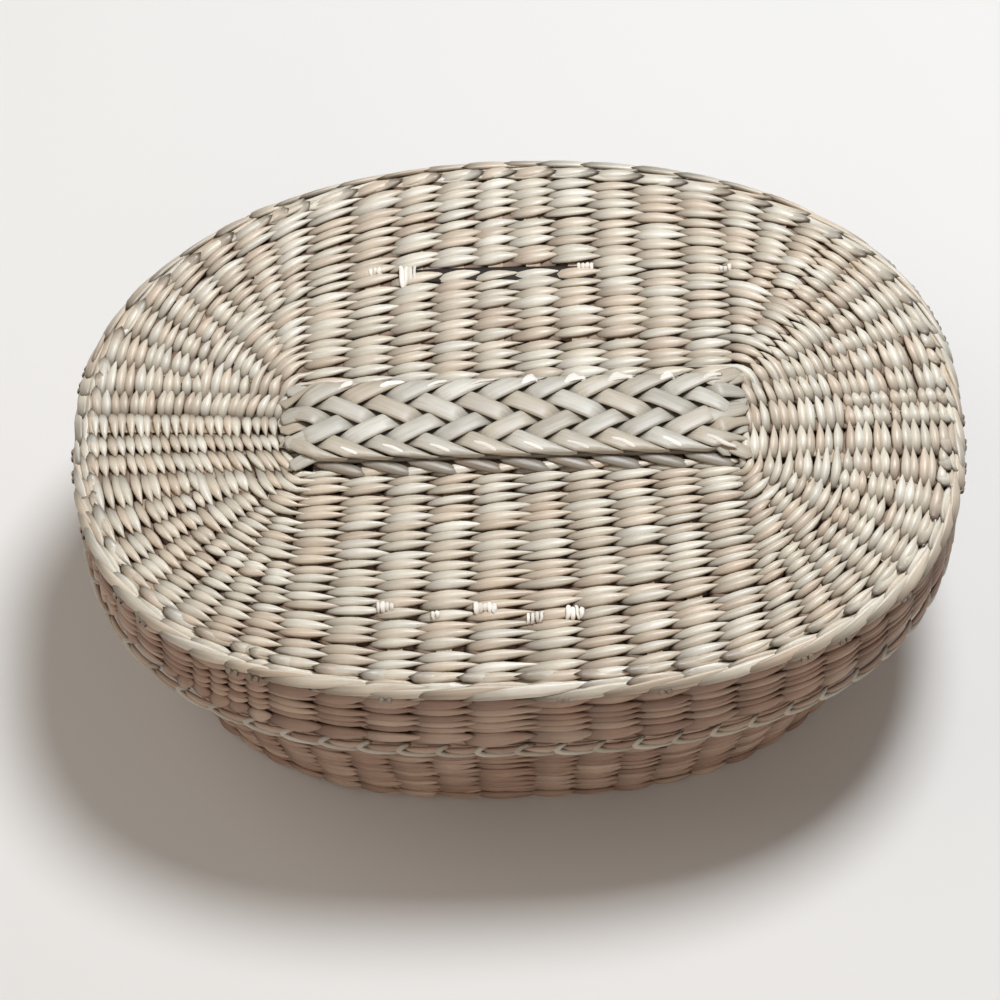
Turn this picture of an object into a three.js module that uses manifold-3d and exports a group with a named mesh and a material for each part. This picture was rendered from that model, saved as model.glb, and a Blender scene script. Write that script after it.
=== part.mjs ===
// Oval lidded box, twined from rush: flat stakes run out from a spine, and courses of weft lock them.
// Lengths are in millimetres. X runs along the box, Y across it to the far side, and Z up from the table.
import * as THREE from "three";
import { mergeVertices } from "three/addons/utils/BufferGeometryUtils.js";
import Module from "manifold-3d";

const wasm = await Module();
wasm.setup();

// Outline of the lid, measured over its rim wale
const lidHalfLength = 150;
const lidHalfWidth = 105.5;
const lidTopHeight = 102;
const lidCrownHeight = 3;
const skirtDepth = 33;
const skirtInset = 1.5;
const endFlareWidth = 0.5;
const sideFlareWidth = 7.5;

// How full each quarter of the oval is: 2 is an ellipse, and more is squarer
const farRightFullness = 2.28;
const farLeftFullness = 2.1;
const nearRightFullness = 2.52;
const nearLeftFullness = 2.64;
const spineFullness = 2.35;

// How far the base draws in from the lid where it stands
const footInsetLength = 25;
const footInsetWidth = 8;

// The weave and the stakes inside it
const weaveThickness = 5;
const grooveDepth = 1.2;
const stakeWidth = 5;
const stakeThickness = 1.6;
const stakeBendRadius = 2;
const spineShare = 0.48;
const spineOffsetWidth = 5;
const spineSplayShare = 0.9;
const fitGap = 0.3;
const cutOverrunLength = 1;

// Borders
const waleWidth = 9;
const waleProudHeight = 1;
const hemWidth = 7;
const hemHeight = 6;
const rimBraidWidth = 6;
const rimBraidHeight = 6;
const footWidth = 9;
const footHeight = 9;
const lidClearance = 1.5;

// Floor of the base
const floorLiftHeight = 1;
const floorThickness = 6.8;
const layerGapThickness = 0.6;

// The plait that lies along the lid
const plaitShortLength = 7;
const plaitHalfWidth = 14.5;
const plaitColumnLength = 7.6;
const strandWidthShare = 0.23;
const strandThickness = 1.4;
const plaitSpreadLength = 6.5;
const plaitDipLength = 6;
const levelShare = 0.4;
const sharpTurnShare = 0.98;
const laneSpreadShare = 1.2;

// Counts, and angles in degrees
const strandRises = [0, -1, 1, 1, -1, -1, 1];
const lidCrossStakes = 10;
const baseCrossStakes = 8;
const lidEndAngles = [-51, -34, -17, 0, 17, 34, 51];
const baseLongAngles = [-48, -24, 0, 24, 48];
const baseShortAngles = [-36, -12, 12, 36];
const crownShares = [0, 0.5, 1];
const wallShares = [0, 0.4, 1];
const floorShares = [0, 1];
const endStakeShare = 0.32;
const shortStakeShare = 0.5;

// Sizes and places that follow from those above
const footHalfLength = lidHalfLength - footInsetLength;
const footHalfWidth = lidHalfWidth - footInsetWidth;
const spineHalfLength = lidHalfLength * spineShare;
const plaitHalfLength = spineHalfLength - plaitShortLength;
const plaitColumns = 2 * Math.floor(plaitHalfLength / plaitColumnLength) + 1;
const plaitStrands = strandRises.length;
const panelTop = lidTopHeight - waleProudHeight;
const panelUnder = panelTop - weaveThickness;
const panelMiddle = panelTop - weaveThickness / 2;
const hemTop = lidTopHeight - skirtDepth + hemHeight;
const skirtMiddle = -skirtInset - weaveThickness / 2;
const rimGrow = -skirtInset - weaveThickness - lidClearance;
const rimTop = panelUnder - fitGap;
const wallTop = rimTop - rimBraidHeight - fitGap;
const wallBottom = footHeight + fitGap;
const floorTop = floorLiftHeight + floorThickness;
const crossLayer = floorLiftHeight + floorThickness / 2 - (stakeThickness + layerGapThickness) / 2;
const longLayer = crossLayer + stakeThickness + layerGapThickness;
const strandWidth = plaitHalfWidth * strandWidthShare;
const strandLift = strandThickness + fitGap;
const plaitMiddle = panelTop + lidCrownHeight + fitGap + strandLift + strandThickness / 2;

const straw = new THREE.MeshStandardMaterial({ color: "#c9b393", roughness: 0.55, metalness: 0 });
const paleRush = new THREE.MeshStandardMaterial({ color: "#d3c4a6", roughness: 0.5, metalness: 0 });
const shadedRush = new THREE.MeshStandardMaterial({ color: "#b39a7c", roughness: 0.6, metalness: 0 });

// Plan of the oval

function signedPower(value, power) {
  return Math.sign(value) * Math.abs(value) ** power;
}

function fullness(angle) {
  const right = Math.cos(angle) >= 0;
  if (Math.sin(angle) >= 0) return right ? farRightFullness : farLeftFullness;
  return right ? nearRightFullness : nearLeftFullness;
}

function outline(halfLength, halfWidth, angle) {
  const power = 2 / fullness(angle);
  return [
    halfLength * signedPower(Math.cos(angle), power),
    halfWidth * signedPower(Math.sin(angle), power),
  ];
}

// Where the stake that reaches the rim at this angle leaves the spine.
function spineX(angle, spine) {
  const reach = (spineSplayShare * lidHalfLength * spine) / spineHalfLength;
  const x = reach * signedPower(Math.cos(angle), 2 / spineFullness);
  return THREE.MathUtils.clamp(x, -spine, spine);
}

// The angle of the stake that crosses the spine at x.
function crossAngle(x, spine) {
  const reach = (spineSplayShare * lidHalfLength * spine) / spineHalfLength;
  return Math.acos(signedPower(x / reach, spineFullness / 2));
}

// A level is one ring of the oval: its half length and width, how far out from the spine, and its height.
// The lid's spine lies a little to the near side of the oval's middle.
function place(angle, level) {
  const [x, y] = outline(level.halfLength, level.halfWidth, angle);
  const start = spineX(angle, level.spine);
  const out = level.share;
  return new THREE.Vector3(start + out * (x - start), level.spineY + out * (y - level.spineY), level.z);
}

function lidLevel(grow, z, share = 1) {
  return {
    halfLength: lidHalfLength + grow,
    halfWidth: lidHalfWidth + grow,
    spine: spineHalfLength,
    spineY: -spineOffsetWidth,
    share,
    z,
  };
}

function panelLevel(share, z) {
  return lidLevel(-waleWidth - fitGap, z + lidCrownHeight * (1 - share * share), share);
}

// The weave sinks between two stakes. A face's level says how far it sinks there, in plan and in height.
function sinking(level, inwards, down) {
  return { ...level, inwards, down };
}

function sunk(level) {
  const { halfLength, halfWidth, z, inwards = 0, down = 0 } = level;
  return { ...level, halfLength: halfLength - inwards, halfWidth: halfWidth - inwards, z: z - down };
}

function skirtLevel(grow, z) {
  const drop = Math.max((panelUnder - z) / (panelUnder - hemTop), 0);
  const level = lidLevel(grow, z);
  level.halfLength += endFlareWidth * drop;
  level.halfWidth += sideFlareWidth * drop;
  return level;
}

// The base grows from its foot to its rim in a swelling curve.
function baseLevel(grow, z, share = 1) {
  const rise = THREE.MathUtils.clamp((z - footHeight) / (wallTop - footHeight), 0, 1);
  const swell = Math.sin((rise * Math.PI) / 2);
  const rimHalfLength = lidHalfLength + rimGrow;
  const rimHalfWidth = lidHalfWidth + rimGrow;
  return {
    halfLength: THREE.MathUtils.lerp(footHalfLength, rimHalfLength, swell) + grow,
    halfWidth: THREE.MathUtils.lerp(footHalfWidth, rimHalfWidth, swell) + grow,
    spine: (spineHalfLength * footHalfLength) / lidHalfLength,
    spineY: 0,
    share,
    z,
  };
}

// Turning points and faces into closed bodies

function bodyFrom(positions, faces) {
  const geometry = new THREE.BufferGeometry();
  geometry.setAttribute("position", new THREE.Float32BufferAttribute(positions, 3));
  geometry.setIndex(faces);
  const merged = mergeVertices(geometry);
  const index = [...merged.index.array];
  const kept = [];
  for (let i = 0; i < index.length; i += 3) {
    const [a, b, c] = index.slice(i, i + 3);
    if (a !== b && b !== c && c !== a) kept.push(a, b, c);
  }
  merged.setIndex(kept);
  if (signedVolume(merged) < 0) {
    for (let i = 0; i < kept.length; i += 3) [kept[i + 1], kept[i + 2]] = [kept[i + 2], kept[i + 1]];
    merged.setIndex(kept);
  }
  return merged;
}

function signedVolume(geometry) {
  const points = geometry.attributes.position;
  const corner = (i) => new THREE.Vector3().fromBufferAttribute(points, geometry.index.array[i]);
  let sum = 0;
  for (let i = 0; i < geometry.index.count; i += 3) {
    sum += corner(i).dot(corner(i + 1).cross(corner(i + 2)));
  }
  return sum;
}

// A body swept round the oval, with a facet from each stake to the gap beside it.
// A closed section makes a ring. An open one runs from spine to spine and makes a panel.
function sweptRound(angles, section, closed) {
  const positions = [];
  const faces = [];
  const sidesAround = angles.length;
  for (const level of section) {
    angles.forEach((angle, i) => {
      positions.push(...place(angle, i % 2 === 0 ? level : sunk(level)).toArray());
    });
  }
  const bands = closed ? section.length : section.length - 1;
  for (let band = 0; band < bands; band++) {
    const low = band * sidesAround;
    const high = ((band + 1) % section.length) * sidesAround;
    for (let i = 0; i < sidesAround; i++) {
      const next = (i + 1) % sidesAround;
      faces.push(low + i, low + next, high + next, low + i, high + next, high + i);
    }
  }
  return bodyFrom(positions, faces);
}

// An eight-sided border section: chamfer takes the corners off.
function borderSection(levelAt, inner, outer, low, high, chamfer) {
  return [
    [inner + chamfer, low],
    [outer - chamfer, low],
    [outer, low + chamfer],
    [outer, high - chamfer],
    [outer - chamfer, high],
    [inner + chamfer, high],
    [inner, high - chamfer],
    [inner, low + chamfer],
  ].map(([grow, z]) => levelAt(grow, z));
}

// A flat strip along its stations. Each has a point and the plan direction in which the strip travels.
function ribbon(stations, width, thickness) {
  const positions = [];
  const faces = [];
  const last = stations.length - 1;
  stations.forEach(({ point, heading }, i) => {
    const before = stations[Math.max(i - 1, 0)].point;
    const after = stations[Math.min(i + 1, last)].point;
    const along = after.clone().sub(before).normalize();
    const across = new THREE.Vector3(-heading.y, heading.x, 0).normalize();
    const out = along.cross(across).normalize();
    for (const [side, face] of [[-1, -1], [1, -1], [1, 1], [-1, 1]]) {
      const corner = point.clone();
      corner.addScaledVector(across, (side * width) / 2).addScaledVector(out, (face * thickness) / 2);
      positions.push(...corner.toArray());
    }
  });
  for (let i = 0; i < last; i++) {
    for (let side = 0; side < 4; side++) {
      const a = i * 4 + side;
      const b = i * 4 + ((side + 1) % 4);
      faces.push(a, b, b + 4, a, b + 4, a + 4);
    }
  }
  const end = last * 4;
  faces.push(0, 2, 1, 0, 3, 2, end, end + 1, end + 2, end, end + 2, end + 3);
  return bodyFrom(positions, faces);
}

// The same strip with its running gap all round and its ends run on, as the tool that cuts its channel.
function channel(stations, width, thickness, startRun, endRun) {
  const runOn = (from, to, distance) => {
    const step = to.point.clone().sub(from.point).normalize();
    return { point: to.point.clone().addScaledVector(step, distance), heading: to.heading };
  };
  const count = stations.length;
  const longer = [
    runOn(stations[1], stations[0], startRun),
    ...stations,
    runOn(stations[count - 2], stations[count - 1], endRun),
  ];
  return ribbon(longer, width + 2 * fitGap, thickness + 2 * fitGap);
}

function solidFrom(geometry) {
  return new wasm.Manifold(
    new wasm.Mesh({
      numProp: 3,
      vertProperties: new Float32Array(geometry.attributes.position.array),
      triVerts: new Uint32Array(geometry.index.array),
    }),
  );
}

function cutChannels(geometry, tools) {
  let solid = solidFrom(geometry);
  for (const tool of tools) solid = solid.subtract(tool);
  const mesh = solid.getMesh();
  const cut = new THREE.BufferGeometry();
  cut.setAttribute("position", new THREE.BufferAttribute(mesh.vertProperties, 3));
  cut.setIndex(new THREE.BufferAttribute(mesh.triVerts, 1));
  return cut;
}

// Stakes

// Stations along one stake from the spine outwards, all travelling away from the spine.
function spoke(angle, levels) {
  const points = levels.map((level) => place(angle, level));
  const run = points[points.length - 1].clone().sub(points[0]);
  const heading = new THREE.Vector2(run.x, run.y).normalize();
  return points.map((point) => ({ point, heading }));
}

// A stake that crosses the spine: up or down one side, over, and out to the other.
function crossing(angle, levels) {
  const far = spoke(angle, levels);
  const near = spoke(-angle, levels).map(({ point, heading }) => ({
    point,
    heading: heading.clone().negate(),
  }));
  const middle = { point: far[0].point, heading: far[0].heading.clone().add(near[0].heading).normalize() };
  return [...near.slice(1).reverse(), middle, ...far.slice(1)];
}

function lidStakeLevels(fromShare) {
  const shares = [fromShare, ...crownShares.filter((share) => share > fromShare)];
  return [
    ...shares.map((share) => panelLevel(share, panelMiddle)),
    lidLevel(skirtMiddle - stakeBendRadius, panelMiddle),
    lidLevel(skirtMiddle, panelMiddle - stakeBendRadius),
    skirtLevel(skirtMiddle, panelUnder),
    skirtLevel(skirtMiddle, hemTop + 2 * fitGap),
  ];
}

function baseStakeLevels(layer, fromShare) {
  const wallMiddle = -weaveThickness / 2;
  const edge = -footWidth - fitGap;
  const wallHeights = wallShares.map((share) => THREE.MathUtils.lerp(wallBottom, wallTop, share));
  return [
    baseLevel(edge, layer, fromShare),
    baseLevel(edge, layer),
    baseLevel(wallMiddle - stakeBendRadius, layer),
    baseLevel(wallMiddle, layer + stakeBendRadius),
    ...wallHeights.map((z) => baseLevel(wallMiddle, z)),
  ];
}

function evenlyAlong(count, halfLength) {
  return Array.from({ length: count }, (_, i) => (halfLength * (2 * i + 1 - count)) / count);
}

const radians = THREE.MathUtils.degToRad;

// The angle of each stake round the rim, and of the gap that follows it.
function stakesAndGaps(crossCount, spine, endAngles) {
  const sides = evenlyAlong(crossCount, spine).map((x) => crossAngle(x, spine));
  const ends = endAngles.map(radians);
  const all = [...sides, ...sides.map((angle) => -angle), ...ends, ...ends.map((angle) => Math.PI + angle)];
  const round = 2 * Math.PI;
  const stakes = all.map((angle) => THREE.MathUtils.euclideanModulo(angle, round)).sort((a, b) => a - b);
  return stakes.flatMap((angle, i) => {
    const next = i + 1 < stakes.length ? stakes[i + 1] : stakes[0] + round;
    return [angle, (angle + next) / 2];
  });
}

// Each run of stations, and how far its channel runs on at its start and its end.
function lidStakes() {
  const stakes = [];
  evenlyAlong(lidCrossStakes, spineHalfLength).forEach((x, i) => {
    const stations = crossing(crossAngle(x, spineHalfLength), lidStakeLevels(0));
    stakes.push({ name: `lid_cross_stake_${i + 1}`, stations, startRun: cutOverrunLength });
  });
  for (const [side, turn] of [["right", 0], ["left", Math.PI]]) {
    lidEndAngles.forEach((angle, i) => {
      const stations = spoke(turn + radians(angle), lidStakeLevels(endStakeShare));
      stakes.push({ name: `lid_${side}_stake_${i + 1}`, stations, startRun: fitGap });
    });
  }
  return stakes;
}

function baseStakes() {
  const stakes = [];
  const spine = baseLevel(0, 0).spine;
  evenlyAlong(baseCrossStakes, spine).forEach((x, i) => {
    const stations = crossing(crossAngle(x, spine), baseStakeLevels(crossLayer, 0));
    stakes.push({ name: `base_cross_stake_${i + 1}`, stations, startRun: cutOverrunLength });
  });
  baseLongAngles.forEach((angle, i) => {
    stakes.push({ name: `base_long_stake_${i + 1}`, stations: longStake(angle, i), startRun: cutOverrunLength });
  });
  for (const [side, turn] of [["right", 0], ["left", Math.PI]]) {
    baseShortAngles.forEach((angle, i) => {
      const stations = spoke(turn + radians(angle), baseStakeLevels(longLayer, shortStakeShare));
      stakes.push({ name: `base_${side}_stake_${i + 1}`, stations, startRun: fitGap });
    });
  }
  return stakes;
}

// A stake that lies along the spine, over the cross stakes, and fans out at both ends.
function longStake(angle, i) {
  const lane = (i - (baseLongAngles.length - 1) / 2) * (stakeWidth + 2 * layerGapThickness);
  const half = baseLevel(0, 0).spine;
  const right = spoke(radians(angle), baseStakeLevels(longLayer, endStakeShare));
  const left = spoke(Math.PI - radians(angle), baseStakeLevels(longLayer, endStakeShare)).map(
    ({ point, heading }) => ({ point, heading: heading.clone().negate() }),
  );
  const straight = [-half, half].map((x) => ({
    point: new THREE.Vector3(x, lane, longLayer),
    heading: new THREE.Vector2(1, 0),
  }));
  return [...left.reverse(), ...straight, ...right];
}

// The plait

// Crossings of a flat plait lie in columns. A strand turns back at the edge in every seventh column.
// In the six between it goes under one of the others, over two, under two and over one.
function strandRise(column) {
  return strandRises[THREE.MathUtils.euclideanModulo(column, plaitStrands)];
}

function strandY(column, amplitude) {
  const wave = Math.asin(sharpTurnShare * Math.cos((Math.PI * column) / plaitStrands));
  return (amplitude * wave) / Math.asin(sharpTurnShare);
}

// The strand's place among all of them, counted from the near edge, where it leaves the plait.
function laneOf(strand, end, amplitude) {
  const here = strandY(end + 2 * strand, amplitude);
  let below = 0;
  for (let other = 0; other < plaitStrands; other++) {
    if (strandY(end + 2 * other, amplitude) < here) below++;
  }
  return below - (plaitStrands - 1) / 2;
}

// Past its end the plait opens out, and each strand goes down into the weave in a lane of its own.
function leadOut(strand, side, amplitude) {
  const lane = laneOf(strand, (side * plaitColumns) / 2, amplitude);
  const laneY = (lane * laneSpreadShare * 2 * plaitHalfWidth) / plaitStrands - spineOffsetWidth;
  const spreadX = plaitHalfLength + plaitSpreadLength;
  return [
    new THREE.Vector3(side * spreadX, laneY, plaitMiddle),
    new THREE.Vector3(side * (spreadX + plaitDipLength), laneY, panelMiddle),
  ];
}

function plaitStations(strand) {
  const amplitude = plaitHalfWidth - strandWidth / 2;
  const columnLength = (2 * plaitHalfLength) / plaitColumns;
  const points = leadOut(strand, -1, amplitude).reverse();
  const put = (column, rise) => {
    const y = strandY(column + 2 * strand, amplitude) - spineOffsetWidth;
    points.push(new THREE.Vector3(column * columnLength, y, plaitMiddle + strandLift * rise));
  };
  put(-plaitColumns / 2, 0);
  const last = (plaitColumns - 1) / 2;
  for (let column = -last; column <= last; column++) {
    put(column - levelShare, strandRise(column + 2 * strand));
    put(column + levelShare, strandRise(column + 2 * strand));
  }
  put(plaitColumns / 2, 0);
  points.push(...leadOut(strand, 1, amplitude));
  return points.map((point, i) => {
    const before = points[Math.max(i - 1, 0)];
    const after = points[Math.min(i + 1, points.length - 1)];
    return { point, heading: new THREE.Vector2(after.x - before.x, after.y - before.y).normalize() };
  });
}

// Building the box

const box = new THREE.Group();

function add(name, geometry, material) {
  const mesh = new THREE.Mesh(geometry, material);
  geometry.computeVertexNormals();
  mesh.name = name;
  box.add(mesh);
}

function addStakes(stakes) {
  for (const { name, stations } of stakes) {
    add(name, ribbon(stations, stakeWidth, stakeThickness), shadedRush);
  }
}

function panel(angles, levelAt, shares, top, under) {
  const up = shares.map((share) => sinking(levelAt(share, top), 0, grooveDepth * share));
  const down = [...shares].reverse().map((share) => sinking(levelAt(share, under), 0, -grooveDepth * share));
  return sweptRound(angles, [...up, ...down], false);
}

function buildLid() {
  const stakes = lidStakes();
  const tools = stakes.map(({ stations, startRun }) =>
    solidFrom(channel(stations, stakeWidth, stakeThickness, startRun, cutOverrunLength)),
  );
  const strands = Array.from({ length: plaitStrands }, (_, k) => plaitStations(k));
  const slots = strands.map((stations) =>
    solidFrom(channel(stations, strandWidth, strandThickness, fitGap, fitGap)),
  );

  const around = stakesAndGaps(lidCrossStakes, spineHalfLength, lidEndAngles);
  const top = panel(around, panelLevel, crownShares, panelTop, panelUnder);
  add("lid_top_weave", cutChannels(top, [...tools, ...slots]), straw);

  const wale = borderSection(lidLevel, -waleWidth, 0, panelUnder, lidTopHeight, waleProudHeight);
  add("lid_rim_wale", cutChannels(sweptRound(around, wale, true), tools), paleRush);

  const skirtOuter = -skirtInset;
  const skirtInner = -skirtInset - weaveThickness;
  const skirt = [
    sinking(skirtLevel(skirtOuter, panelUnder - fitGap), grooveDepth, 0),
    sinking(skirtLevel(skirtInner, panelUnder - fitGap), -grooveDepth, 0),
    sinking(skirtLevel(skirtInner, hemTop + fitGap), -grooveDepth, 0),
    sinking(skirtLevel(skirtOuter, hemTop + fitGap), grooveDepth, 0),
  ];
  add("lid_skirt_weave", cutChannels(sweptRound(around, skirt, true), tools), straw);

  const hemAt = (grow, z) => ({ ...skirtLevel(skirtMiddle + grow, hemTop), z });
  const hemLow = hemTop - hemHeight;
  const hem = borderSection(hemAt, -hemWidth / 2, hemWidth / 2, hemLow, hemTop, hemHeight / 4);
  add("lid_hem_braid", sweptRound(around, hem, true), paleRush);

  addStakes(stakes);
  strands.forEach((stations, k) => {
    add(`lid_plait_strand_${k + 1}`, ribbon(stations, strandWidth, strandThickness), paleRush);
  });
}

function buildBase() {
  const stakes = baseStakes();
  const tools = stakes.map(({ stations, startRun }) =>
    solidFrom(channel(stations, stakeWidth, stakeThickness, startRun, cutOverrunLength)),
  );

  const endAngles = [...baseLongAngles, ...baseShortAngles];
  const around = stakesAndGaps(baseCrossStakes, baseLevel(0, 0).spine, endAngles);
  const floorAt = (share, z) => baseLevel(-footWidth - fitGap, z, share);
  add("base_floor_weave", cutChannels(panel(around, floorAt, floorShares, floorTop, floorLiftHeight), tools), straw);

  const foot = borderSection(baseLevel, -footWidth, 0, 0, footHeight, footHeight / 6);
  add("base_foot_wale", cutChannels(sweptRound(around, foot, true), tools), paleRush);

  const heights = wallShares.map((share) => THREE.MathUtils.lerp(wallBottom, wallTop, share));
  const outer = heights.map((z) => sinking(baseLevel(0, z), grooveDepth, 0));
  const inner = [...heights].reverse().map((z) => sinking(baseLevel(-weaveThickness, z), -grooveDepth, 0));
  add("base_wall_weave", cutChannels(sweptRound(around, [...outer, ...inner], true), tools), straw);

  const rimLow = rimTop - rimBraidHeight;
  const rim = borderSection(baseLevel, -rimBraidWidth, 0, rimLow, rimTop, rimBraidHeight / 4);
  add("base_rim_braid", sweptRound(around, rim, true), paleRush);

  addStakes(stakes);
}

buildLid();
buildBase();

export default box;
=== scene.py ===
# An oval box twined from dried rush, with a deep lift-off lid.
# Lengths are in metres, in the frame of the solids: X along the box, Y to its far side and Z up.
import bpy
import bmesh
import math
import random
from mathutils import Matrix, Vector


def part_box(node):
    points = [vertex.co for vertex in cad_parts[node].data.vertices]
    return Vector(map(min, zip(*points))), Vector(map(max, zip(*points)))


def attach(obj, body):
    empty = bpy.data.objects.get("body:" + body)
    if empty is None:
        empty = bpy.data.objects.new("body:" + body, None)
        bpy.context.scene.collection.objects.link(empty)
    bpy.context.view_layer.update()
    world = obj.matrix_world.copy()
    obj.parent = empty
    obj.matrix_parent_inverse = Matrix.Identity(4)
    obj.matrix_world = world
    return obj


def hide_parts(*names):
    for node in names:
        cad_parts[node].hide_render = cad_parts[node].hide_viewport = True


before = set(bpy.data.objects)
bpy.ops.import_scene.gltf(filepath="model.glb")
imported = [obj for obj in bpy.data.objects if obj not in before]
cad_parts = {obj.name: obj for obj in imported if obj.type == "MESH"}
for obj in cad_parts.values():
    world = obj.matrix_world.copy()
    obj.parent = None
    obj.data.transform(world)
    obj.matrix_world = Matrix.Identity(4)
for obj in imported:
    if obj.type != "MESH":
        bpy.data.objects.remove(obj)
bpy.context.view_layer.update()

MM = 0.001
FULL_TURN = 2 * math.pi

# Sizes read from the solids
WALE_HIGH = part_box("lid_rim_wale")[1]
HEM_LOW, HEM_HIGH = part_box("lid_hem_braid")
FOOT_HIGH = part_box("base_foot_wale")[1]
RIM_LOW, RIM_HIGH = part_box("base_rim_braid")
FLOOR_LOW, FLOOR_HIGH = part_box("base_floor_weave")
PANEL_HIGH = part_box("lid_top_weave")[1]

LID_LENGTH, LID_WIDTH, LID_TOP = WALE_HIGH
PANEL_LENGTH, PANEL_WIDTH = PANEL_HIGH.x, PANEL_HIGH.y
FOOT_LENGTH, FOOT_WIDTH = FOOT_HIGH.x, FOOT_HIGH.y
RIM_LENGTH, RIM_WIDTH = RIM_HIGH.x, RIM_HIGH.y
WALE_PROUD = 1 * MM
PANEL_LEVEL = LID_TOP - WALE_PROUD
CROWN = PANEL_HIGH.z - LID_TOP + WALE_PROUD

# How full each quarter of the oval is, as in the solids: 2 is an ellipse, and more is squarer
FAR_RIGHT, FAR_LEFT, NEAR_RIGHT, NEAR_LEFT = 2.28, 2.1, 2.52, 2.64
SPINE_FULLNESS = 2.35

# The spine, where the weave starts beside the plait
SPINE_HALF = 72 * MM
SPINE_REACH = 135 * MM
SPINE_Y = -5 * MM
WEAVE_START_FAR = 12 * MM
WEAVE_START_NEAR = 16.5 * MM
RIGHT_BULGE, LEFT_BULGE = 2.5 * MM, 6 * MM

# The gaps between stakes, and the widths at which another stake is put in
END_ANGLE = math.radians(7)
LEFT_END_GAPS = [math.radians(1), math.radians(3.6)]
SIDE_COLUMNS = 10
SPLIT_AT_ENDS, SPLIT_AT_SIDES = 11.5 * MM, 16.5 * MM

# The stitches. A lap is a share of the gap between stakes, and a slant or wander a share of a course
WEAVE_THICKNESS = 5 * MM
STITCH_THICK = 1.15 * MM
STITCH_SINK = 1.1 * MM
STITCH_LIFT = 0.75 * MM
LAP = 0.4
SLANT = 0.24
POINT, TIP = 0.8, 0.45
TIP_THICKNESS = 0.4
# Painted shade along a stitch: darkest at its start, which lies under the stitch before, and none over its
# stake or at its tip
SHADE_MIDDLE, SHADE_ALONG, SHADE_SWELL = 0.5, 0.75, 0.55
COURSE_WANDER, COURSE_WAVES = 0.12, 3

# How far one stitch differs from the next
LAP_RANGE = 0.75, 1.25
SHIFT_RANGE = -0.04, 0.04
DRIFT_RANGE = -0.08, 0.08
WIDTH_RANGE = 0.9, 1.14
SLANT_RANGE = 0.7, 1.3
FAT_RANGE = -0.24, 0
ROLL_SPREAD = 0.14

# The mesh of a strand, and the steps used to measure a surface's slopes
ALONG, AROUND = 8, 8
WELD = 0.01 * MM
GIRTH_SHARE = 0.6
STRAND_OFFSET = 7
ANGLE_STEP, T_STEP = 0.004, 0.01


# Plan of the oval


def clamp(value, low=0, high=1):
    return max(low, min(high, value))


def smooth(low, high, value):
    share = clamp((value - low) / (high - low))
    return share * share * (3 - 2 * share)


def signed_power(value, power):
    return math.copysign(abs(value) ** power, value)


def fullness(angle):
    right = math.cos(angle) >= 0
    if math.sin(angle) >= 0:
        return FAR_RIGHT if right else FAR_LEFT
    return NEAR_RIGHT if right else NEAR_LEFT


def outline(length, width, angle):
    power = 2 / fullness(angle)
    return length * signed_power(math.cos(angle), power), width * signed_power(math.sin(angle), power)


CORNER_ANGLE = math.acos((SPINE_HALF / SPINE_REACH) ** (SPINE_FULLNESS / 2))


def spine(angle, length, far, near):
    """Where the stake that reaches the rim at this angle starts, beside the plait."""
    x = SPINE_REACH / SPINE_HALF * length * signed_power(math.cos(angle), 2 / SPINE_FULLNESS)
    x = clamp(x, -length, length)
    from_end = min(abs(math.asin(math.sin(angle))) / END_ANGLE, 1)
    x += (1 - from_end ** 2) * (RIGHT_BULGE if x > 0 else -LEFT_BULGE)
    return x, from_end * (far if math.sin(angle) > 0 else -near)


def side_angle(x):
    """The angle of the gap between stakes that leaves the spine at x, as a share of its half length."""
    return math.acos(signed_power(x * SPINE_HALF / SPINE_REACH, SPINE_FULLNESS / 2))


def split(left, right, reach):
    """The gaps between two stakes, with a stake put in wherever they have run too far apart."""
    middle = (left + right) / 2
    if reach(left, right) < SPLIT_AT_ENDS + (SPLIT_AT_SIDES - SPLIT_AT_ENDS) * abs(math.sin(middle)):
        return [left]
    return split(left, middle, reach) + split(middle, right, reach)


def columns(surface, t):
    """The angles of the gaps between stakes on one course, anticlockwise from the right end."""
    def reach(left, right):
        return (surface(right, t) - surface(left, t)).length

    third = END_ANGLE / 3
    far = [third]
    far += split(END_ANGLE, CORNER_ANGLE, reach)
    far += [side_angle(1 - 2 * i / SIDE_COLUMNS) for i in range(SIDE_COLUMNS)]
    far += split(math.pi - CORNER_ANGLE, math.pi - END_ANGLE, reach)
    far += [math.pi - END_ANGLE]
    left_end = [math.pi - third] + [math.pi + gap for gap in LEFT_END_GAPS]
    near = [FULL_TURN - gap for gap in reversed(far)]
    right_end = split(FULL_TURN - third, FULL_TURN + third, reach)[1:]
    return far + left_end + near + right_end


def closed(angles, extra=1):
    """Angles round the oval, with the first few of them again after a full turn."""
    return angles + [angle + FULL_TURN for angle in angles[:extra]]


def run_lengths(places):
    """How far along a path each of its points lies."""
    runs = [0]
    for before, after in zip(places, places[1:]):
        runs.append(runs[-1] + (after - before).length)
    return runs


FINE_STEPS = 720


def even_angles(point, count):
    """Angles that lie the same distance apart round an outline."""
    runs = run_lengths([point(FULL_TURN * i / FINE_STEPS) for i in range(FINE_STEPS + 1)])
    angles = []
    i = 0
    for k in range(count):
        want = runs[-1] * k / count
        while runs[i + 1] < want:
            i += 1
        share = (want - runs[i]) / (runs[i + 1] - runs[i])
        angles.append(FULL_TURN * (i + share) / FINE_STEPS)
    return angles


# Surfaces. Each gives a point for an angle round the oval and t, which goes across the courses from 0 to 1

PANEL_FIRST, FLOOR_FIRST = 0.02, 0.04
FLOOR_SPINE_SHARE, FLOOR_START = 0.8, 4 * MM


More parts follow.
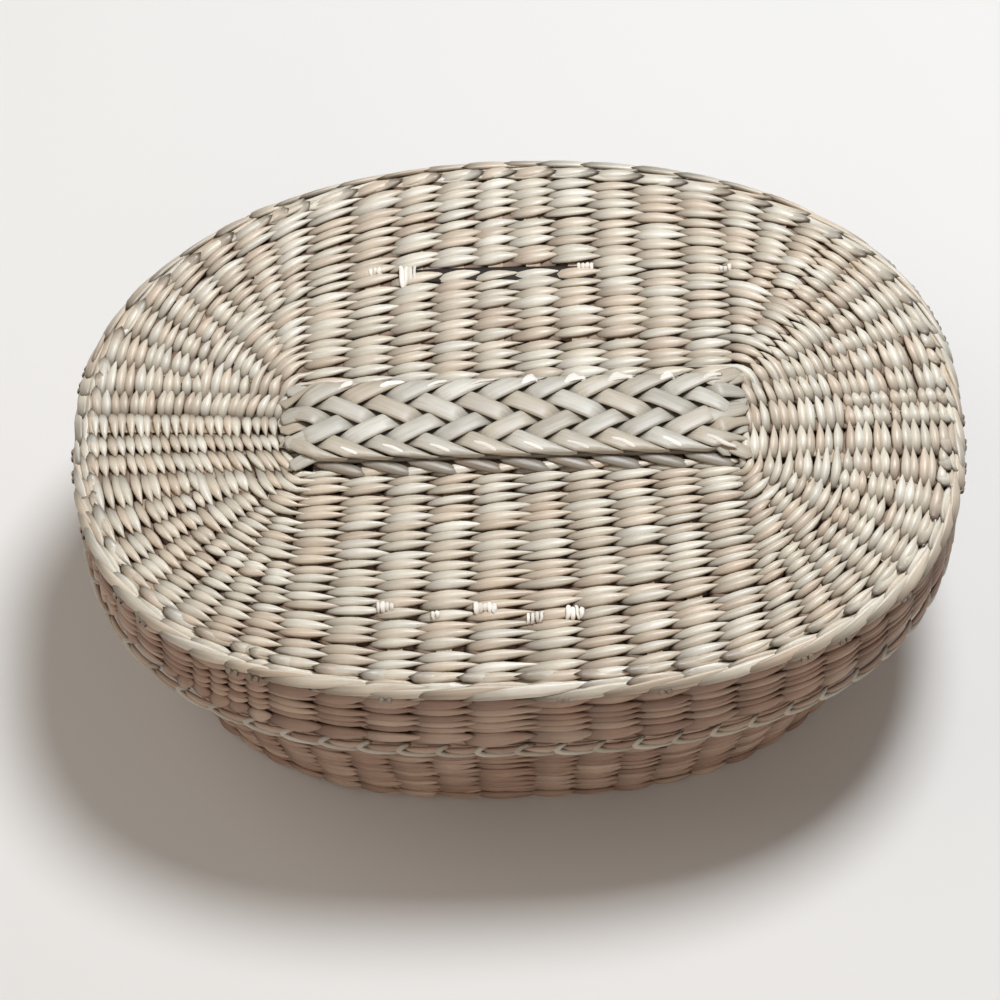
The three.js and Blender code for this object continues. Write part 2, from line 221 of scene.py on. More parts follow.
def lid_panel(drop):
    def at(angle, t):
        f = PANEL_FIRST + (1 - PANEL_FIRST) * t
        x, y = outline(PANEL_LENGTH, PANEL_WIDTH, angle)
        start_x, start_y = spine(angle, SPINE_HALF, WEAVE_START_FAR, WEAVE_START_NEAR)
        start_y += SPINE_Y
        z = PANEL_LEVEL + CROWN * (1 - f * f) - drop
        return Vector((start_x + f * (x - start_x), start_y + f * (y - start_y), z))

    return at


def base_floor(z):
    def at(angle, t):
        f = FLOOR_FIRST + (1 - FLOOR_FIRST) * t
        x, y = outline(FLOOR_HIGH.x, FLOOR_HIGH.y, angle)
        start_x, start_y = spine(angle, SPINE_HALF * FLOOR_SPINE_SHARE, FLOOR_START, FLOOR_START)
        return Vector((start_x + f * (x - start_x), start_y + f * (y - start_y), z))

    return at


# The lid's rounded edge: how far it turns down and out, and how far in from the rim it starts
EDGE_DROP, EDGE_TURN, EDGE_INSET = 6.6 * MM, 7.2 * MM, 7.6 * MM

SKIRT_TOP = LID_TOP - EDGE_DROP
SKIRT_FOOT = HEM_HIGH.z + 1.2 * MM
FLARE_SPARE = 0.5 * MM
FLARE_ENDS = HEM_HIGH.x - LID_LENGTH + FLARE_SPARE
FLARE_SIDES = HEM_HIGH.y - LID_WIDTH + FLARE_SPARE


def skirt_point(angle, grow, z):
    drop = max(0, (SKIRT_TOP - z) / (SKIRT_TOP - HEM_HIGH.z))
    x, y = outline(LID_LENGTH + grow + FLARE_ENDS * drop, LID_WIDTH + grow + FLARE_SIDES * drop, angle)
    return Vector((x, y, z))


def skirt(grow):
    return lambda angle, t: skirt_point(angle, grow, SKIRT_TOP + (SKIRT_FOOT - SKIRT_TOP) * t)


def shoulder(inset):
    """The rounded edge between the lid's top and its skirt: t turns from the top to the side."""
    def at(angle, t):
        turn = math.pi / 2 * t
        grow = -EDGE_INSET + (EDGE_TURN - inset) * math.sin(turn)
        rise = (EDGE_DROP - inset) * math.cos(turn)
        x, y = outline(LID_LENGTH + grow, LID_WIDTH + grow, angle)
        return Vector((x, y, SKIRT_TOP + rise))

    return at


def hem_point(angle, grow, z):
    x, y = outline(HEM_HIGH.x + grow, HEM_HIGH.y + grow, angle)
    return Vector((x, y, z))


WALL_FOOT = FOOT_HIGH.z
WALL_TOP = RIM_LOW.z


def wall_point(angle, grow, z):
    rise = clamp((z - WALL_FOOT) / (WALL_TOP - WALL_FOOT))
    swell = math.sin(rise * math.pi / 2)
    length = FOOT_LENGTH + (RIM_LENGTH - FOOT_LENGTH) * swell + grow
    width = FOOT_WIDTH + (RIM_WIDTH - FOOT_WIDTH) * swell + grow
    x, y = outline(length, width, angle)
    return Vector((x, y, z))


def wall(grow, low, high):
    return lambda angle, t: wall_point(angle, grow, high + (low - high) * t)


FOOT_RADIUS, FOOT_RISE = 4.5 * MM, 0.4 * MM
RIM_RADIUS = 3 * MM


def foot_turn(angle, t):
    """The rounded foot: t turns from the side, round under the edge, to the inside."""
    turn = math.pi * t
    grow = -FOOT_RADIUS + FOOT_RADIUS * math.cos(turn)
    x, y = outline(FOOT_LENGTH + grow, FOOT_WIDTH + grow, angle)
    return Vector((x, y, FOOT_RADIUS - FOOT_RADIUS * math.sin(turn) + FOOT_RISE))


def rim_turn(angle, t):
    """The base's top edge: t turns from the outside, over the top, to the inside."""
    turn = math.pi * t
    grow = -RIM_RADIUS + RIM_RADIUS * math.cos(turn)
    x, y = outline(RIM_LENGTH + grow, RIM_WIDTH + grow, angle)
    return Vector((x, y, RIM_HIGH.z - RIM_RADIUS + RIM_RADIUS * math.sin(turn)))


# Strands. A strand is its stations and its tint. A station is its middle, its half width and half
# thickness as vectors, and its painted shade, from 0 where it lies deep in the weave and is painted darkest
# to 1 where it lies open


def blank_strand(along, around):
    """A flat patch whose vertices are bent into each strand: x runs along it and y goes round it."""
    patch = bmesh.new()
    bmesh.ops.create_grid(patch, x_segments=along, y_segments=around, size=1)
    mesh = bpy.data.meshes.new("strand")
    patch.to_mesh(mesh)
    patch.free()
    return mesh


def bend(bm, strands, around, round_power, shape):
    """Bends each patch into its strand, and writes what the material reads onto its vertices."""
    bm.verts.ensure_lookup_table()
    weft = bm.verts.layers.float_vector.new("weft")
    tint_and_painted_shade = bm.verts.layers.float_color.new("tint_and_painted_shade")
    turns = [math.pi * (2 * j / around - 1) for j in range(around + 1)]
    ring = [(signed_power(math.sin(a), round_power), signed_power(math.cos(a), round_power)) for a in turns]
    index = 0
    for stations, colour in strands:
        lengths = run_lengths([station[0] for station in stations])
        for turn, (side, top) in zip(turns, ring):
            for length, (middle, across, out, shade) in zip(lengths, stations):
                vert = bm.verts[index]
                place = middle + across * side + out * top
                vert.co = shape(place) if shape else place
                vert[weft] = (length, across.length * turn * GIRTH_SHARE, colour[2] * STRAND_OFFSET)
                vert[tint_and_painted_shade] = (colour[0], colour[1], shade, 1)
                index += 1


def wound(name, strands, material, body, along=ALONG, around=AROUND, round_power=1.0, shape=None):
    """One piece made of many closed strands."""
    blank = blank_strand(along, around)
    bm = bmesh.new()
    for _ in strands:
        bm.from_mesh(blank)
    bend(bm, strands, around, round_power, shape)
    bmesh.ops.remove_doubles(bm, verts=bm.verts, dist=WELD)
    bmesh.ops.recalc_face_normals(bm, faces=bm.faces)
    for face in bm.faces:
        face.smooth = True
    mesh = bpy.data.meshes.new(name)
    bm.to_mesh(mesh)
    bm.free()
    bpy.data.meshes.remove(blank)
    mesh.materials.append(material)
    piece = bpy.data.objects.new(name, mesh)
    bpy.context.collection.objects.link(piece)
    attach(piece, body)
    return piece


def frame_at(surface, angle, t, side):
    """A point of a surface, the way across the courses there, and the way out of the weave."""
    here = surface(angle, t)
    along = surface(angle + ANGLE_STEP, t) - surface(angle - ANGLE_STEP, t)
    across = (surface(angle, t + T_STEP) - surface(angle, t - T_STEP)).normalized()
    return here, across, across.cross(along).normalized() * side


def tint_of(rng):
    """Three shares of chance for a strand: its lightness, its hue and where its fibres start."""
    return rng.random(), rng.random(), rng.random()


def leaf(surface, left, right, t, step, width, side, rng, lap=LAP, slant=SLANT, thick=STITCH_THICK,
         sink=STITCH_SINK, lift=STITCH_LIFT, point=POINT, flow=1):
    """One stitch of weft: a flat leaf that starts low, swells over its stake and comes to a point on
    the next stitch. With a flow of -1 it runs clockwise."""
    half = (right - left) / 2 * (1 + lap * rng.uniform(*LAP_RANGE))
    middle = (left + right) / 2 + (right - left) * rng.uniform(*SHIFT_RANGE)
    t += step * rng.uniform(*DRIFT_RANGE)
    width *= rng.uniform(*WIDTH_RANGE)
    slant *= rng.uniform(*SLANT_RANGE)
    fat = rng.uniform(*FAT_RANGE)
    roll = rng.gauss(0, ROLL_SPREAD)
    stations = []
    for i in range(ALONG + 1):
        s = 2 * i / ALONG - 1
        bulge = s - fat * (1 - s * s)
        swell = (1 - bulge * bulge) ** (point + TIP * s) if 0 < i < ALONG else 0
        here, across, out = frame_at(surface, middle + flow * s * half, t - flow * slant * s * step, side)
        rise = lift * s - sink * s * s
        stations.append((
            here + out * (rise - thick),
            (across + out * roll * side) * (width * swell),
            out * (thick * (TIP_THICKNESS + (1 - TIP_THICKNESS) * swell) if swell else 0),
            # painted shade, darkest at the stitch's low start
            clamp(SHADE_MIDDLE + SHADE_ALONG * s + SHADE_SWELL * swell),
        ))
    return stations, tint_of(rng)


def leg_at(points, share):
    """The leg of a path that holds a share of its way, and how far along that leg the place is."""
    spot = share * (len(points) - 1)
    leg = min(int(spot), len(points) - 2)
    return leg, spot - leg


THINNEST = 0.01


def sliver(points, width, thick, rng, shade=1, blunt=0.6):
    """A strand through points, with both of its ends drawn in."""
    stations = []
    for i in range(ALONG + 1):
        s = i / ALONG
        leg, part = leg_at(points, s)
        place = points[leg].lerp(points[leg + 1], part)
        ahead = (points[leg + 1] - points[leg]).normalized()
        across = Vector((-ahead.y, ahead.x, 0)).normalized()
        swell = (4 * s * (1 - s)) ** blunt if 0 < i < ALONG else 0
        out = ahead.cross(across) * thick * max(swell, THINNEST)
        stations.append((place, across * width * swell, out, shade))
    return stations, tint_of(rng)


def nowhere(here, row):
    return 0


def onward(angle):
    return 1


def course_stitches(surface, rows, width, side, rng, slant=SLANT, opened=nowhere, point=POINT, flow=onward):
    """Every stitch of a woven field. Rows give each course's t and the height it stands, as shares."""
    strands = []
    for row, (t, step) in enumerate(rows):
        gaps = closed(columns(surface, t))
        wave = rng.uniform(0, FULL_TURN)
        for left, right in zip(gaps, gaps[1:]):
            middle = (left + right) / 2
            shift = opened(surface(middle, t), row) * step
            drift = COURSE_WANDER * step * math.sin(COURSE_WAVES * middle + wave) + shift
            high = (surface(middle, t + step / 2) - surface(middle, t - step / 2)).length
            strands.append(leaf(surface, left, right, t + drift, step, high * width, side, rng,
                                slant=slant, point=point, flow=flow(middle)))
    return strands


def even_rows(count):
    return [(i / (count - 1), 1 / (count - 1)) for i in range(count)]


def rows_of(heights):
    """Courses of different heights, one after another."""
    total = sum(heights)
    rows = []
    run = 0
    for height in heights:
        rows.append(((run + height / 2) / total, height / total))
        run += height
    return rows


# Materials


def linear(code):
    """An sRGB hex colour, as the linear values that a shader takes."""
    parts = [int(code[i:i + 2], 16) / 255 for i in (1, 3, 5)]
    return tuple(p / 12.92 if p <= 0.04045 else ((p + 0.055) / 1.055) ** 2.4 for p in parts) + (1,)


def add(tree, kind, settings=None, **links):
    """Adds a node, sets its properties and its sockets' values, and links sockets to outputs.

    A link is named after its socket, or _0, _1 and so on after its place.
    """
    node = tree.nodes.new(kind)
    for name, value in (settings or {}).items():
        if isinstance(name, str) and hasattr(node, name):
            setattr(node, name, value)
        else:
            node.inputs[name].default_value = value
    for name, output in links.items():
        tree.links.new(output, node.inputs[int(name[1:]) if name[1:].isdigit() else name])
    return node


def ramp(tree, fac, stops):
    node = add(tree, "ShaderNodeValToRGB", _0=fac)
    elements = node.color_ramp.elements
    while len(elements) < len(stops):
        elements.new(0.5)
    for element, (place, colour) in zip(elements, stops):
        element.position = place
        element.color = linear(colour)
    return node.outputs[0]


def new_material(name):
    material = bpy.data.materials.new(name)
    material.use_nodes = True
    tree = material.node_tree
    return material, tree, tree.nodes["Principled BSDF"]


def bumpy(tree, shader, height, strength, distance):
    bump = add(tree, "ShaderNodeBump", {"Strength": strength, "Distance": distance}, Height=height)
    tree.links.new(bump.outputs[0], shader.inputs["Normal"])


FIBRE = 0.5 * MM
RIB_STRETCH = (0.05 / FIBRE, 1 / FIBRE, 3)
STAIN_STRETCH = (120, 160, 5)
STAIN_SHARE = 0.55


def noise_along(tree, weft, stretch, settings):
    place = add(tree, "ShaderNodeVectorMath", {"operation": "MULTIPLY", 1: stretch}, _0=weft)
    return add(tree, "ShaderNodeTexNoise", {"Scale": 1, **settings}, Vector=place.outputs[0]).outputs[0]


def rush_colour(tree, stops, painted_shade_colour, weft, ribs):
    """The stalk's colour, with stains, streaks along its ribs, and painted shade where it lies deep in the
    weave.
    """
    tint_and_painted_shade = add(tree, "ShaderNodeAttribute", {"attribute_name": "tint_and_painted_shade"}).outputs["Color"]
    tone, hue, shade = add(tree, "ShaderNodeSeparateColor", _0=tint_and_painted_shade).outputs
    stain = noise_along(tree, weft, STAIN_STRETCH, {"Detail": 2})
    shifted = add(tree, "ShaderNodeMath", {"operation": "MULTIPLY_ADD", 1: STAIN_SHARE}, _0=stain, _2=hue)
    spread = add(tree, "ShaderNodeMath", {"operation": "SUBTRACT", 1: STAIN_SHARE / 2, "use_clamp": True},
                 _0=shifted.outputs[0])
    base = ramp(tree, spread.outputs[0], stops)
    # Painted shade: the colour is darkened towards the shade colour where a strand lies deep
    painted_shade = ramp(tree, shade, [(0, painted_shade_colour), (1, "#ffffff")])
    shaded_base = add(tree, "ShaderNodeVectorMath", {"operation": "MULTIPLY"}, _0=base, _1=painted_shade)
    value = add(tree, "ShaderNodeMapRange", {"To Min": 0.88, "To Max": 1.08}, Value=tone)
    streak = add(tree, "ShaderNodeMapRange",
                 {"From Min": 0.3, "From Max": 0.7, "To Min": 0.86, "To Max": 1.08}, Value=ribs)
    lightness = add(tree, "ShaderNodeMath", {"operation": "MULTIPLY"},
                    _0=value.outputs[0], _1=streak.outputs[0])
    return add(tree, "ShaderNodeVectorMath", {"operation": "SCALE"}, _0=shaded_base.outputs[0],
               Scale=lightness.outputs[0]).outputs[0]


def rush(name, stops, gloss, painted_shade_colour):
    """Dried rush, laid flat: its skin gives soft shine, fine ribs along the stalk, and a tone that
    changes from stalk to stalk. Where a strand lies deep in the weave its colour is darkened towards a
    painted shade colour."""
    material, tree, shader = new_material(name)
    weft = add(tree, "ShaderNodeAttribute", {"attribute_name": "weft"}).outputs["Vector"]
    ribs = noise_along(tree, weft, RIB_STRETCH, {"Detail": 3, "Roughness": 0.6})
    tree.links.new(rush_colour(tree, stops, painted_shade_colour, weft, ribs), shader.inputs["Base Color"])
    rough = add(tree, "ShaderNodeMapRange", {"To Min": gloss - 0.08, "To Max": gloss + 0.14}, Value=ribs)
    tree.links.new(rough.outputs[0], shader.inputs["Roughness"])
    bumpy(tree, shader, ribs, 0.6, 0.14 * MM)
    shader.inputs["IOR"].default_value = 1.45
    return material


def stake_finish():
    """Flat dried stalks: the same skin as the weft, with ribs along the box's own axes."""
    material, tree, shader = new_material("flat_dried_stalks")
    place = add(tree, "ShaderNodeTexCoord").outputs["Object"]
    ribs = add(tree, "ShaderNodeTexNoise", {"Scale": 1400, "Detail": 3}, Vector=place).outputs[0]
    tree.links.new(ramp(tree, ribs, STAKE_STOPS), shader.inputs["Base Color"])
    bumpy(tree, shader, ribs, 0.4, 0.1 * MM)
    shader.inputs["Roughness"].default_value = 0.55
    return material


def pale_floor():
    """Matt studio paper, which gives a plain pale ground."""
    material, tree, shader = new_material("matt_studio_paper")
    place = add(tree, "ShaderNodeTexCoord").outputs["Object"]
    grain = add(tree, "ShaderNodeTexNoise", {"Scale": 900, "Detail": 2}, Vector=place).outputs[0]
    bumpy(tree, shader, grain, 0.05, 0.1 * MM)
    shader.inputs["Base Color"].default_value = linear("#dedad4")
    shader.inputs["Roughness"].default_value = 0.9
    return material


STRAW_STOPS = [(0.0, "#c4b19b"), (0.4, "#cbbda8"), (0.7, "#cec4b1"), (1.0, "#d6cebe")]
PALE_STOPS = [(0.0, "#ad9f8b"), (0.35, "#b4a997"), (0.7, "#b2aa9b"), (1.0, "#beb7a9")]
# The skirt, hem leaves and base wall take the same rush in a darker, browner copy, as painted shade
SHADED_STOPS = [(0.0, "#937563"), (0.5, "#a28571"), (1.0, "#b39b87")]
# The insides, undersides, floor and foot take the same rush in a darker, browner copy, as painted shade
INNER_STOPS = [(0.0, "#8f7260"), (0.5, "#a08470"), (1.0, "#b09984")]
# Near-black: painted shadow for the opening in the lid's far side
SLIT_SHADOW_STOPS = [(0.0, "#3b3029"), (1.0, "#4b3e35")]
# Near-white: the real colour of the stake ends, and painted highlight on the plait's rolled and frayed folds
STUB_AND_HIGHLIGHT_STOPS = [(0.0, "#dad0c0"), (1.0, "#efe8dc")]
STAKE_STOPS = [(0.25, "#957c63"), (0.5, "#a89076"), (0.75, "#b9a58b")]

# The last colour given to each rush is its painted shade colour, where a strand lies deep in the weave
straw = rush("dried_rush_weft", STRAW_STOPS, 0.34, "#695e53")
pale = rush("pale_dried_rush", PALE_STOPS, 0.4, "#665c53")
shaded = rush("shaded_dried_rush", SHADED_STOPS, 0.42, "#5f5047")
inner = rush("shaded_inner_dried_rush", INNER_STOPS, 0.6, "#85776d")
slit_shadow = rush("painted_slit_shadow_rush", SLIT_SHADOW_STOPS, 0.75, "#8a8078")
pith_and_painted_highlight = rush("white_rush_pith_and_painted_highlight", STUB_AND_HIGHLIGHT_STOPS, 0.6, "#b8ada3")
stake_rush = stake_finish()


# The lid's weave

LID_COURSES = 22
TOP_REACH = 1.022
TOP_WIDTH, UNDERSIDE_WIDTH = 0.55, 0.54
SKIRT_ROWS = rows_of([4.4, 2.7, 2.5, 2.5, 2.6, 4.6])
SKIRT_COURSES_INSIDE = 7
SKIRT_WIDTH, SIDE_POINT = 0.64, 0.55
INSIDE_WIDTH = 0.6

# Between these angles the lid's stitches run clockwise, so that they point to the right
TURNED_FROM, TURNED_TO = math.radians(38), math.radians(178)

# Where the weave has opened on the far side, how far each course near it has moved, in courses, and
# the near-black strand laid in the opening over the stakes as painted shadow, in millimetres from the
# middle of the lid's top
SLIT_MIDDLE, SLIT_REACH = -6 * MM, 33 * MM
SLIT_SHIFTS = {9: -0.06, 10: -0.16, 11: -0.3, 12: 0.3, 13: 0.14, 14: 0.05}
EDGE_SHIFT, EDGE_REACH = 0.3, 75 * MM
SLIT_SHADOW_STRAND = [(-42, 55.2, -0.4), (-20, 54.6, 0), (10, 54.4, 0), (34, 55.0, -0.4)]


def slit(here, row):
    """On the far side the weave has opened between two courses, and a little below the edge."""
    if here.y < 0:
        return 0
    if row == LID_COURSES - 1:
        return EDGE_SHIFT * math.exp(-(here.x / EDGE_REACH) ** 4)
    return SLIT_SHIFTS.get(row, 0) * math.exp(-((here.x - SLIT_MIDDLE) / SLIT_REACH) ** 6)


def top_flow(angle):
    return -1 if TURNED_FROM < angle < TURNED_TO else 1


def lid_top():
    rows = [(t * TOP_REACH, step * TOP_REACH) for t, step in even_rows(LID_COURSES)]
    field = course_stitches(lid_panel(0), rows, TOP_WIDTH, 1, random.Random(11), opened=slit, flow=top_flow)
    piece = wound("lid_top_stitches", field, straw, "lid")
    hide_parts("lid_top_weave")
    under = course_stitches(lid_panel(WEAVE_THICKNESS), even_rows(LID_COURSES), UNDERSIDE_WIDTH, -1,
                            random.Random(12), slant=-SLANT, opened=slit)
    # painted shade: the lid's underside takes the darker inner copy of the rush
    wound("lid_underside_stitches", under, inner, "lid")
    # A near-black strand sunk in the opening, over the stakes: painted shadow in the slit
    path = [Vector((x * MM, y * MM, LID_TOP + rise * MM)) for x, y, rise in SLIT_SHADOW_STRAND]
    shadow_strand = [sliver(path, 3.2 * MM, 0.25 * MM, random.Random(13), shade=0, blunt=0.3)]
    wound("slit_painted_shadow_strand", shadow_strand, slit_shadow, "lid")


def lid_skirt():
    outside = course_stitches(skirt(-1.3 * MM), SKIRT_ROWS, SKIRT_WIDTH, 1, random.Random(21),
                              point=SIDE_POINT)
    # painted shade: the skirt takes the darker shaded copy of the rush
    piece = wound("lid_skirt_stitches", outside, shaded, "lid")
    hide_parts("lid_skirt_weave")
    inside = course_stitches(skirt(-6.5 * MM), even_rows(SKIRT_COURSES_INSIDE), INSIDE_WIDTH, -1,
                             random.Random(22), slant=-SLANT)
    # painted shade: the skirt's inside takes the darker inner copy of the rush
    wound("lid_skirt_inside_stitches", inside, inner, "lid")


# The lid's edge. A strand of the wale passes this many gaps between stakes, at this t of the shoulder
WALE_COLUMNS, WALE_T = 2.3, 0.64
WALE_HALF_WIDTH = 2.2 * MM
WALE_SHAPE = dict(lap=0.05, slant=0.2, thick=0.95 * MM, sink=0.25 * MM, lift=-0.6 * MM, point=0.7)


def lid_wale():
    """Long flat strands along the lid's edge. Each starts on top of the one before and ends beneath
    the next."""
    rng = random.Random(31)
    surface = shoulder(0.2 * MM)
    gaps = columns(surface, 0.5)
    ahead = closed(gaps, 5)
    strands = []
    for i in range(len(gaps)):
        end = ahead[i + 2] + (ahead[i + 3] - ahead[i + 2]) * (WALE_COLUMNS - 2)
        strands.append(leaf(surface, ahead[i], end, WALE_T, 1, WALE_HALF_WIDTH, 1, rng,
                            flow=top_flow(ahead[i]), **WALE_SHAPE))
    under = shoulder(4 * MM)
    for t in (0.0, 0.5, 1.0):
        for i in range(len(gaps)):
            strands.append(leaf(under, ahead[i], ahead[i + 1], t, 0.4, WALE_HALF_WIDTH, -1, rng))
    piece = wound("lid_rim_wale_strands", strands, straw, "lid")
    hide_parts("lid_rim_wale")


# The hem. Each point of a strand has how far along its unit it is, how far out it stands in
# millimetres, and its height as a share of half of the hem's
HEM_UNITS = 66
HEM_STEPS = 14
HEM_MIDDLE = (HEM_LOW.z + HEM_HIGH.z) / 2
HEM_HALF = (HEM_HIGH.z - HEM_LOW.z) / 2
HOOK = [(0.3, -2.6, 0.95), (0.1, -1.3, 0.75), (0.0, -1.0, 0.3), (0.04, -1.0, -0.2), (0.2, -1.0, -0.55),
        (0.5, -1.0, -0.7), (0.85, -1.1, -0.66), (1.2, -1.9, -0.5)]
FRONT_LEAF = [(0.1, -2.2, -0.05), (0.35, -1.5, 0.05), (0.7, -1.2, 0.2), (1.0, -1.4, 0.42), (1.3, -2.6, 0.7)]
TOP_LEAF = [(0.2, -3.9, 0.55), (0.6, -3.4, 0.7), (1.0, -3.4, 0.8), (1.5, -4.0, 0.7)]
BACK_LEAF = [(0.0, -6.2, 0.7), (0.5, -6.4, 0), (1.2, -5.6, -0.6)]


def along_hem(start, end, points, width, thick, rng):
    """A strand along the hem, from one angle to another."""
    path = []
    for i in range(HEM_STEPS + 1):
        s = i / HEM_STEPS
        leg, part = leg_at(points, s)
        along, grow, high = [a + (b - a) * part for a, b in zip(points[leg], points[leg + 1])]
        swell = math.sin(math.pi * (0.06 + 0.88 * s)) ** 0.5 if 0 < i < HEM_STEPS else 0
        path.append((start + (end - start) * along, grow * MM, high, swell))
    places = [hem_point(angle, grow, high) for angle, grow, high, _ in path]
    stations = []
    for i, (angle, grow, high, swell) in enumerate(path):
        ahead = (places[min(i + 1, HEM_STEPS)] - places[max(i - 1, 0)]).normalized()
        out = hem_point(angle, grow + 1 * MM, high) - hem_point(angle, grow - 1 * MM, high)
        out = (out - ahead * out.dot(ahead)).normalized()
        across = ahead.cross(out).normalized()
        # Painted shade: darker towards the ends, where the strand tucks in
        stations.append((places[i], across * width * swell, out * thick * swell, 0.3 + 0.7 * swell))
    return stations, tint_of(rng)


def lid_hem():
    """The border: each stake end turns down and along as a pale hook, and tucks in behind the next leaf."""
    rng = random.Random(41)
    angles = closed(even_angles(lambda angle: hem_point(angle, 0, HEM_MIDDLE), HEM_UNITS), 4)

    def row(points, reach, width, thick):
        raised = [(along, grow, HEM_MIDDLE + HEM_HALF * high) for along, grow, high in points]
        return [along_hem(angles[i], angles[i + reach], raised, width * MM, thick * MM, rng)
                for i in range(HEM_UNITS)]

    leaves = row(FRONT_LEAF, 1, 1.7, 0.9) + row(TOP_LEAF, 1, 1.6, 0.8) + row(BACK_LEAF, 2, 1.5, 0.8)
    # painted shade: the hem's leaves take the darker shaded copy of the rush
    piece = wound("lid_hem_leaves", leaves, shaded, "lid", along=HEM_STEPS)
    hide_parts("lid_hem_braid")
    wound("lid_hem_hooks", row(HOOK, 1, 1.4, 0.85), pale, "lid", along=HEM_STEPS)


# The plait: seven strands, each over two of the others and under two, which turn back at its edges

PLAIT_STRANDS = 7
PLAIT_COLUMNS = 17
PLAIT_STEP = 130 * MM / PLAIT_COLUMNS
PLAIT_EDGE = 14.5 * MM
PLAIT_REACH = 13.4 * MM
PLAIT_REST = PANEL_LEVEL + CROWN + 2.1 * MM
PLAIT_LEFT, PLAIT_RIGHT = -79.5 * MM, 76 * MM
STRAND_HALF_WIDTH = 3.3 * MM
STRAND_HALF_THICK = 0.6 * MM
STRAND_LIFT = 1.15 * MM
STRAND_CROWN = 0.5 * MM
LIMB_STEPS = 44
LIMB_START, LIMB_END = -1.0, 8.45
DIVE_LENGTH, DIVE_SLOPE = 9 * MM, 0.42
END_TAPER, END_NARROWING = 14 * MM, 0.32
EDGE_SPILL, FOLD_SLOPE, FOLD_MOST = 0.06, 0.35, 1.3 * MM


def limb_level(place):
    """How high a strand lies, from -1 under the others to 1 over them, by the columns since its last turn."""
    rise = smooth(1.15, 1.85, place) - smooth(3.15, 3.85, place) + smooth(5.15, 5.85, place)
    return 2 * rise - 1


def limb_crown(place):
    """How far a strand arches where it lies over the others."""
    first = math.sin(math.pi * clamp((place - 1.5) / 2))
    second = math.sin(math.pi * clamp((place - 5.2) / 2.6))
    return STRAND_CROWN * (first + second)


def fold_at_edges(place):
    """Turns what runs past the plait's edge down and under, and draws the plait in where it goes into
    the weave."""
    from_middle = place.y - SPINE_Y
    over = abs(from_middle) - PLAIT_EDGE
    z = place.z
    if over > 0:
        from_middle = math.copysign(PLAIT_EDGE + EDGE_SPILL * over, from_middle)
        z -= min(FOLD_SLOPE * over, FOLD_MOST)
    end = PLAIT_RIGHT if place.x > 0 else -PLAIT_LEFT
    from_middle *= 1 - END_NARROWING * smooth(end - END_TAPER, end, abs(place.x))
    z -= DIVE_SLOPE * max(0, abs(place.x) - end + DIVE_LENGTH)
    return Vector((place.x, SPINE_Y + from_middle, z))


def limb(turn, side, rng):
    """A strand's run from one edge to the other. Turn is the column that it starts in, and side the
    edge that it starts at."""
    first = max(LIMB_START, PLAIT_LEFT / PLAIT_STEP - turn)
    last = min(LIMB_END, PLAIT_RIGHT / PLAIT_STEP - turn)
    if last - first < 1:
        return None
    slope = -side * 2 * PLAIT_REACH / (PLAIT_STRANDS * PLAIT_STEP)
    heading = Vector((1, slope, 0)).normalized()
    normal = Vector((-heading.y, heading.x, 0))
    wide = STRAND_HALF_WIDTH * rng.uniform(0.94, 1.04)
    roll = rng.gauss(0, 0.05)
    stations = []
    for i in range(LIMB_STEPS + 1):
        place = first + (last - first) * i / LIMB_STEPS
        x = (turn + place) * PLAIT_STEP
        y = SPINE_Y + side * PLAIT_REACH * (1 - 2 * place / PLAIT_STRANDS)
        level = limb_level(place)
        full = 0 if i in (0, LIMB_STEPS) else 1
        stations.append((
            Vector((x, y, PLAIT_REST + STRAND_LIFT * level + limb_crown(place))),
            (normal + Vector((0, 0, roll * level))) * wide * full,
            Vector((0, 0, STRAND_HALF_THICK)) * (full or 0.2),
            # painted shade: darker where the strand lies under the others
            0.3 + 0.7 * smooth(-0.9, 0.6, level),
        ))
    return stations, tint_of(rng)


def plait():
    rng = random.Random(51)
    period = 2 * PLAIT_STRANDS
    for number in range(PLAIT_STRANDS):
        limbs = [limb(offset - 2 * number + period * lap, side, rng)
                 for side, offset in ((1, 0), (-1, PLAIT_STRANDS)) for lap in range(-2, 3)]
        name = f"plait_strand_{number + 1}"
        piece = wound(name, [built for built in limbs if built], pale, "lid",
                      along=LIMB_STEPS, around=10, round_power=0.75, shape=fold_at_edges)
        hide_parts(f"lid_{name}")


# What lies along the plait's edges. Every path is in millimetres from its fold, from the plait's near
# or far edge, and from the height that it lies at
PLAIT_NEAR, PLAIT_FAR = SPINE_Y - PLAIT_EDGE, SPINE_Y + PLAIT_EDGE
PLAIT_HIGH = PLAIT_REST + STRAND_LIFT + 0.9 * MM
EDGE_FOLDS = 4

# Along, the jog's share, inward, what a full curl adds to that, and rise
NEAR_ROLL = [(-2, 1, 2.6, 2.8, -0.2), (1.5, 0, 1.6, 2.0, 0.1), (5.2, 0, 1.1, 0, -0.2), (9.5, 0, 0.1, 0, -1.2)]
# Along, the jog's share, what each further fray adds, outward, what each further fray adds, and rise
FAR_FRAY = [(-3, 1, 1, -3.2, 0.9, -0.3), (2, 1, 0, -1.3, 0.9, 0), (6, -1, 0, -0.4, -0.8, -0.6)]
# Along, inward and rise
LOWER_LEAF = [(-9.5, 0.6, -1.9), (-3, -0.9, -1.9), (3, -2.6, -2.3), (8.5, -4.4, -2.9)]

